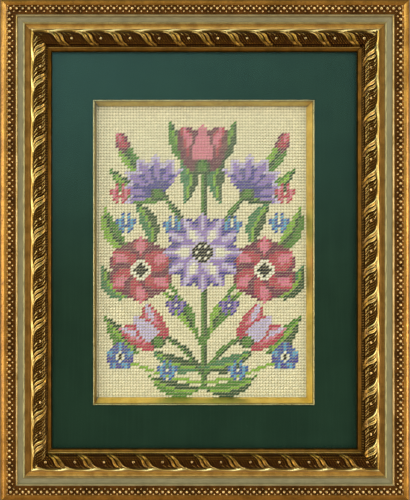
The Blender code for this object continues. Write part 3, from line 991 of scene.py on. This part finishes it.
def petal(foot, bearing, length, width, yarns, fullness=0.8, edge=0.62):
    """A drop-shaped petal from its foot: yarns are its outline, its body and the light down its middle."""
    outline, body, light = yarns
    ahead = (math.cos(math.radians(bearing)), -math.sin(math.radians(bearing)))
    for column, row in squares_near(foot, length + 1):
        x, y = column - foot[0], row - foot[1]
        share = (x * ahead[0] + y * ahead[1]) / length
        if not 0 <= share <= 1:
            continue
        half = width / 2 * math.sin(math.pi * share ** fullness) ** 0.6
        side = abs(y * ahead[0] - x * ahead[1]) / half if half > 0 else 2.0
        if side > 1:
            continue
        if side > edge or share < 0.22:
            stitch(column, row, outline)
        else:
            stitch(column, row, light if share > 0.5 and side < 0.3 else body)


def disc(centre, radius, yarn):
    """A round spot of one yarn."""
    for column, row in squares_near(centre, radius + 1):
        if math.hypot(column - centre[0], row - centre[1]) <= radius:
            stitch(column, row, yarn)


def ring_of_petals(centre, radius, petals, width, yarns, turn=90, fullness=1.0):
    """Petals set evenly about a centre."""
    for number in range(petals):
        petal(centre, turn + 360 * number / petals, radius, width, yarns, fullness)


def daisy(centre, radius, petals, yarns, heart):
    """A single flower: heart is the yarn of the ring round its centre and of the centre."""
    ring_of_petals(centre, radius, petals, radius * 2.15 * math.sin(math.pi / petals), yarns, 90, 1.15)
    disc(centre, radius * 0.32, heart[0])
    disc(centre, radius * 0.2, heart[1])


def dahlia(centre, radius, outer, inner, heart):
    """A double flower: twelve pointed petals with a ring of six rounder ones on top."""
    ring_of_petals(centre, radius, 12, radius * 0.5, outer, 90, 1.1)
    ring_of_petals(centre, radius * 0.68, 6, radius * 0.62, inner, 60, 1.15)
    disc(centre, radius * 0.26, heart[0])
    for turn in range(0, 360, 60):
        dot = (math.cos(math.radians(turn)), math.sin(math.radians(turn)))
        stitch(centre[0] + radius * 0.14 * dot[0], centre[1] + radius * 0.14 * dot[1], heart[1])


def star(centre, body, light, heart):
    """A small flower of five blunt petals, three stitches from its heart to its tips."""
    for turn in range(90, 450, 72):
        for reach, yarn in ((1.2, body), (2.2, light), (3.1, body)):
            across = (math.cos(math.radians(turn)), -math.sin(math.radians(turn)))
            for side in (-0.5, 0.5):
                spot = (across[0] * reach - across[1] * side, across[1] * reach + across[0] * side)
                stitch(centre[0] + spot[0], centre[1] + spot[1], yarn)
    stitch(centre[0], centre[1], heart)


def tulip(foot, bearing, length, width, yarns):
    """Two side petals with a third in front."""
    outline, body, light = yarns
    petal(foot, bearing + 25, length, width * 0.66, (outline, body, light), 0.7, 0.5)
    petal(foot, bearing - 25, length, width * 0.66, (outline, body, light), 0.7, 0.5)
    petal(foot, bearing, length * 0.92, width * 0.62, (outline, light, light), 0.62, 0.72)


def carnation(foot, bearing, radius, yarns, spread=72, teeth=6):
    """A fan of rays with a toothed light rim."""
    shade, body, light = yarns
    for column, row in squares_near(foot, radius + 1):
        x, y = column - foot[0], foot[1] - row
        reach = math.hypot(x, y)
        turn = (math.degrees(math.atan2(y, x)) - bearing + 180) % 360 - 180
        if abs(turn) > spread or reach < 0.5:
            continue
        ray = math.cos(turn / spread * math.pi * teeth)
        rim = radius * (0.9 + 0.1 * ray) * (1 - 0.15 * (turn / spread) ** 2)
        if reach > rim:
            continue
        if reach > rim - 1.7:
            stitch(column, row, light)
        else:
            stitch(column, row, body if ray > -0.3 and reach > radius * 0.38 else shade)


def bend(start, through, end, steps=150):
    """Points along a curve with the share of the way and the direction there."""
    for step in range(steps + 1):
        t = step / steps
        place = [(1 - t) ** 2 * a + 2 * t * (1 - t) * b + t * t * c for a, b, c in zip(start, through, end)]
        way = [2 * (1 - t) * (b - a) + 2 * t * (c - b) for a, b, c in zip(start, through, end)]
        size = math.hypot(*way) or 1.0
        yield t, place[0], place[1], way[0] / size, way[1] / size


def stem(start, through, end, yarn="leaf", shade=None):
    """A line of single stitches along a curve, with a second line of shade beside it if given."""
    for _, x, y, _, _ in bend(start, through, end):
        stitch(x, y, yarn)
        if shade:
            stitch(x + 1, y, shade)


def leaf(start, through, end, width, yarns):
    """A pointed leaf along a curve: yarns are its midrib, its lit half and its shaded half."""
    rib, lit, shaded = yarns
    line = list(bend(start, through, end, 60))
    for column, row in squares_near(through, math.dist(start, end) / 2 + width + 6):
        nearest = min(line, key=lambda point: math.hypot(point[1] - column, point[2] - row))
        t, x, y, ahead_x, ahead_y = nearest
        half = width / 2 * math.sin(math.pi * min(max(t, 0.02), 0.985))
        if math.hypot(column - x, row - y) > half + 0.3:
            continue
        side = (row - y) * ahead_x - (column - x) * ahead_y
        if abs(side) < 0.5 and 0.1 < t < 0.9:
            stitch(column, row, rib)
        else:
            stitch(column, row, shaded if side > 0 else lit)


# %% Drawing the design
GREENS, DEEP, FRESH = ("lime", "leaf", "pine"), ("lime", "sea", "pine"), ("pine", "lime", "leaf")
RED, PINK = ("berry", "crimson", "rose"), ("crimson", "rose", "lilac")
MAUVE, PALE = ("violet", "lavender", "lilac"), ("lavender", "lilac", "ivory")
BLUE, CALYX = ("violet", "cornflower", "sky"), ("pine", "leaf", "leaf")
# Everything that is drawn twice, by its places: how far out from the middle, and in which row.
LEAVES = [
    ((1, 95), (9, 98), (18, 91), 4.8, GREENS), ((1, 88), (9, 89), (17, 82), 4.8, DEEP),
    ((3, 76), (5, 68), (13, 63), 5.2, FRESH), ((22, 83), (28, 79), (33, 71), 5.6, GREENS),
    ((25, 64), (32, 63), (34, 54), 5.4, DEEP), ((25, 47), (32, 45), (33, 34), 5.4, FRESH),
    ((17, 47), (16, 39), (23, 32), 5.0, DEEP), ((14, 31), (24, 31), (31, 21), 5.6, GREENS),
    ((6, 32), (2, 23), (8, 13), 5.2, DEEP), ((2, 20), (8, 16), (11, 5), 5.4, GREENS),
    ((20, 22), (25, 19), (29, 9), 4.8, FRESH),
]
STARS = [((10, 40), "cornflower", "sky"), ((26, 39), "cornflower", "sky"), ((9, 67), "violet", "lavender"),
         ((12, 89), "cornflower", "sky"), ((28, 29), "crimson", "rose")]


def draw_half(side):
    """One half of the design, mirrored by side, which is -1 or 1."""

    def at(out, row):
        return MIDDLE + side * out, row

    stem(at(1, 90), at(6, 80), at(15, 77), "leaf", "pine")
    stem(at(1, 80), at(6, 60), at(20, 55))
    stem(at(0, 57), at(6, 37), at(14, 30), "leaf", "pine")
    stem(at(1, 93), at(13, 92), at(27, 85), "lime")
    for foot, through, tip, width, yarns in LEAVES:
        leaf(at(*foot), at(*through), at(*tip), width, yarns)
    carnation(at(14.5, 30), 90 - side * 30, 14.5, MAUVE)
    petal(at(14, 31.5), 90 - side * 30, 5.0, 5.0, CALYX)
    daisy(at(21, 55), 11, 6, RED, ("ivory", "night"))
    tulip(at(14.5, 80), 90 - side * 44, 14.5, 12.5, PINK)
    petal(at(13.5, 81), 90 - side * 44, 4.6, 4.4, CALYX)
    daisy(at(28, 84.5), 4.8, 5, BLUE, ("ivory", "night"))
    for centre, body, light in STARS:
        star(at(*centre), body, light, "ivory")
    petal(at(26, 15), 90 - side * 24, 7.5, 4.6, RED)


stem((MIDDLE, 95), (MIDDLE, 60), (MIDDLE, 19), "leaf", "pine")
draw_half(-1)
draw_half(1)
tulip((MIDDLE, 21), 90, 16.5, 15.0, RED)
petal((MIDDLE, 23), 90, 5.5, 5.4, CALYX)
dahlia((MIDDLE, 49), 13.5, MAUVE, PALE, ("night", "ivory"))
counts = {yarn: sum(row.count(yarn) for row in chart) for yarn in YARNS}
print("stitches of each yarn:", counts)

# %% [markdown]
# ## Wool
#
# Tapestry wool is a soft thread of a few plies. Close to, each stitch is a plump slanting lozenge with fine
# lines along it where the plies turn, and a faint fuzz that lightens its edges. A single recipe colours
# every yarn. Each stitch also has its own shade, a random number kept on its points, because hand-dyed wool
# and the pull of the needle make no two quite alike.

# %% The recipe for wool
PLY_PITCH = 0.8 * MM


def wool(name, colour):
    """Matt plied wool of one colour, with plies, fibres and a shade for each stitch."""
    material, tree, shader = new_material(f"{name}_tapestry_wool")
    along = node(tree, "UVMap", uv_map="thread")
    shade = node(tree, "Attribute", out="Fac", attribute_name="shade")
    drawn = node(tree, "Mapping", {"Vector": along, "Scale": (0.35, 1.0, 1.0)})
    wave = {"Vector": drawn, "Scale": waves_of(PLY_PITCH), "Distortion": 1.0, "Detail": 1.0}
    plies = node(tree, "TexWave", wave, out="Fac", bands_direction="Y")
    fibres = mottled(tree, along, 0.25 * MM, 3.0, 0.7, (0.3, 1.0, 1.0))
    base = linear(colour)
    dark = tuple(channel * 0.55 for channel in base[:3]) + (1.0,)
    light = tuple(min(channel * 1.12 + 0.01, 1.0) for channel in base[:3]) + (1.0,)
    tone = node(tree, "Mix", {0: shade, 6: dark, 7: light}, **COLOURS)
    tone = node(tree, "Mix", {0: 0.4, 6: base, 7: tone}, **COLOURS)
    # The grooves between the plies are painted darker, as shade in the creases.
    tone = showing(tree, tone, plies, 0.0, 0.45, dark, most=0.0, least=0.5)
    tone = showing(tree, tone, fibres, 0.45, 0.75, light, 0.35)
    relief = node(tree, "Bump", {"Height": plies, "Distance": 0.15 * MM, "Strength": 0.7})
    relief = node(tree, "Bump", {"Height": fibres, "Distance": 0.08 * MM, "Strength": 0.6, "Normal": relief})
    wired(tree, shader, {"Base Color": tone, "Roughness": 0.92, "Normal": relief, "Specular IOR Level": 0.2,
                         "Sheen Weight": 0.08, "Sheen Roughness": 0.6})
    return material


# %% [markdown]
# ## Stitching the canvas
#
# Every stitch crosses one intersection of the canvas from lower left to upper right, so all of them lean the
# same way. One small rounded lozenge stands for a stitch and is stamped on every square of the chart, with a
# piece for each yarn. One more row all round runs under the fillet, as the worked ground does on the real
# canvas.

# %% Stitches, yarn by yarn
STITCH_LEAN = 39
# Half a stitch's length, thickness and width. The stitches stay a hair below the canvas's front in the part.
STITCH_HALF = (1.68 * MM, 0.74 * MM, 0.91 * MM)
STITCH_DEPTH = STITCH_TOP - STITCH_HALF[1] - 0.06 * MM
random.seed(12)


def lozenge(bm):
    """A plump stitch lying along X, six-sided with pointed ends."""
    bmesh.ops.create_uvsphere(bm, u_segments=6, v_segments=4, radius=1.0)
    bmesh.ops.rotate(bm, cent=(0, 0, 0), matrix=Matrix.Rotation(math.radians(90), 3, "Y"), verts=bm.verts)
    bmesh.ops.scale(bm, vec=STITCH_HALF, verts=bm.verts)


def thread_map(points, copies, corners):
    """A UV map along and across each stitch, shifted so that neighbours differ."""
    shift = np.stack([copies * 0.0037, copies * 0.0011], axis=1)
    return points[corners][:, (0, 2)] + shift


def stitch_place(column, row):
    """The matrix of one stitch, with the small unevenness of handwork."""
    x = (column - MIDDLE) * STITCH + random.gauss(0, 0.025) * MM
    z = CANVAS_MIDDLE.z + ((DOWN - 1) / 2 - row) * STITCH + random.gauss(0, 0.025) * MM
    depth = STITCH_DEPTH + random.uniform(-0.03, 0.03) * MM
    lean = Matrix.Rotation(math.radians(-STITCH_LEAN + random.gauss(0, 2)), 4, "Y")
    plump = Matrix.Diagonal((random.uniform(0.96, 1.05), 1.0, random.uniform(0.93, 1.06), 1.0))
    return Matrix.Translation((x, -depth, z)) @ lean @ plump


squares = {yarn: [] for yarn in YARNS}
for row in range(-1, DOWN + 1):
    for column in range(-1, ACROSS + 1):
        inside = 0 <= row < DOWN and 0 <= column < ACROSS
        squares[chart[row][column] if inside else "cream"].append((column, row))

thread = small_shape(lozenge)
for yarn, colour in YARNS.items():
    places = [stitch_place(column, row) for column, row in squares[yarn]]
    shades = [min(max(random.gauss(0.6, 0.2), 0.0), 1.0) for _ in places]
    piece = stamped(f"stitches_{yarn}", thread, places, [wool(yarn, colour)], "thread", thread_map, shades)
    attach(piece, "root")

# %% [markdown]
# ## Floor, light and camera
#
# The picture is seen from in front and a little to its left, with the camera square to the wall and its lens
# shifted, so the frame stays a true rectangle. Soft windows stand to the left, to the right and high in
# front, and a pale table lights it faintly from below. All stand outside the part of the room that the glass
# mirrors to the camera, and those at the sides draw the bright lines down the upright rails.
#
# What the glass does mirror is the room itself, the world. It is dim, with a little blue-green daylight high
# up, which lies on the upper part of the glass as a faint haze. Grey-brown walls at the sides warm the gold,
# and a paler wall behind the frame shows its sides and back.

# %% Floor
FLOOR_LEVEL = -1.3
stage_paint, tree, shader = new_material("pale_studio_floor")
clouds = mottled(tree, node(tree, "TexCoord", out="Object"), 0.3, 2.0, 0.5)
tone = node(tree, "Mix", {0: clouds, 6: "dccac2", 7: "e2d0c8"}, **COLOURS)
wired(tree, shader, {"Base Color": tone, "Roughness": 0.8})
bm = bmesh.new()
level = Matrix.Translation((0.0, 0.0, FLOOR_LEVEL))
bmesh.ops.create_grid(bm, x_segments=1, y_segments=1, size=1.2, matrix=level)
floor = finished_piece(bm, "studio_floor", [stage_paint], None)
print(f"floor {-FLOOR_LEVEL:.1f} m below the frame's top")

# %% Light
scene = bpy.context.scene
world = bpy.data.worlds.new("dim_room")
world.use_nodes = True
tree = world.node_tree
toward = node(tree, "TexCoord", out="Generated")
across, behind, up = (node(tree, "SeparateXYZ", {"Vector": toward}, out=axis) for axis in "XYZ")
room = showing(tree, "1c1d1e", up, -0.3, 0.1, "36393a")
high = node(tree, "MapRange", {0: up, 1: -0.12, 2: 0.36}, **SMOOTH)
leftward = node(tree, "MapRange", {0: across, 1: 1.0, 2: -0.4}, **SMOOTH)
daylight = node(tree, "Math", {0: high, 1: leftward}, operation="MULTIPLY")
room = node(tree, "Mix", {0: daylight, 6: room, 7: "94dce2"}, **COLOURS)
aside = node(tree, "Math", {0: across}, operation="ABSOLUTE")
room = showing(tree, room, aside, 0.6, 0.95, "746a5c")
room = showing(tree, room, behind, 0.05, 0.4, "a8a49c")
wired(tree, tree.nodes["Background"], {"Color": room})
scene.world = world


def soft_light(name, place, toward, size, radiance, colour="ffffff"):
    """A rectangular light at a place, facing a point, of this width and height and surface brightness."""
    light = bpy.data.lights.new(name, "AREA")
    light.shape = "RECTANGLE"
    light.size, light.size_y = size
    light.energy = radiance * math.pi * size[0] * size[1]
    light.color = linear(colour)[:3]
    lamp = bpy.data.objects.new(name, light)
    lamp.location = place
    lamp.rotation_euler = (Vector(toward) - Vector(place)).to_track_quat("-Z", "Y").to_euler()
    scene.collection.objects.link(lamp)
    print(f"{name}: {size[0]} x {size[1]} m, {light.energy:.1f} W")


soft_light("narrow window", (-0.8, -1.45, -0.19), (0, 0, -0.19), (0.16, 1.8), 12.0, "fff8ec")
soft_light("left window", (-1.3, -0.9, -0.1), (0, 0, -0.19), (0.5, 1.3), 5.0, "fff8ec")
soft_light("right window", (1.22, -1.08, -0.3), (0, 0, -0.19), (0.5, 1.2), 8.5, "fff8ec")
soft_light("high window", (0.1, -1.4, 0.95), (0, 0, -0.2), (1.5, 0.5), 6.0, "ffffff")
soft_light("light from the table", (0.0, -1.0, -1.25), (0, 0, -0.2), (1.4, 0.5), 2.6, "fff4e4")

# %% Camera
lens = bpy.data.cameras.new("camera")
lens.sensor_width = 36.0
lens.lens = 38.47
lens.shift_x = 0.1487
camera = bpy.data.objects.new("camera", lens)
camera.location = (-0.062, -0.4668, -0.1912)
camera.rotation_euler = (math.radians(90), 0.0, 0.0)
scene.collection.objects.link(camera)
scene.camera = camera
scene.view_settings.view_transform = "Standard"
print("camera at", tuple(round(v, 3) for v in camera.location))
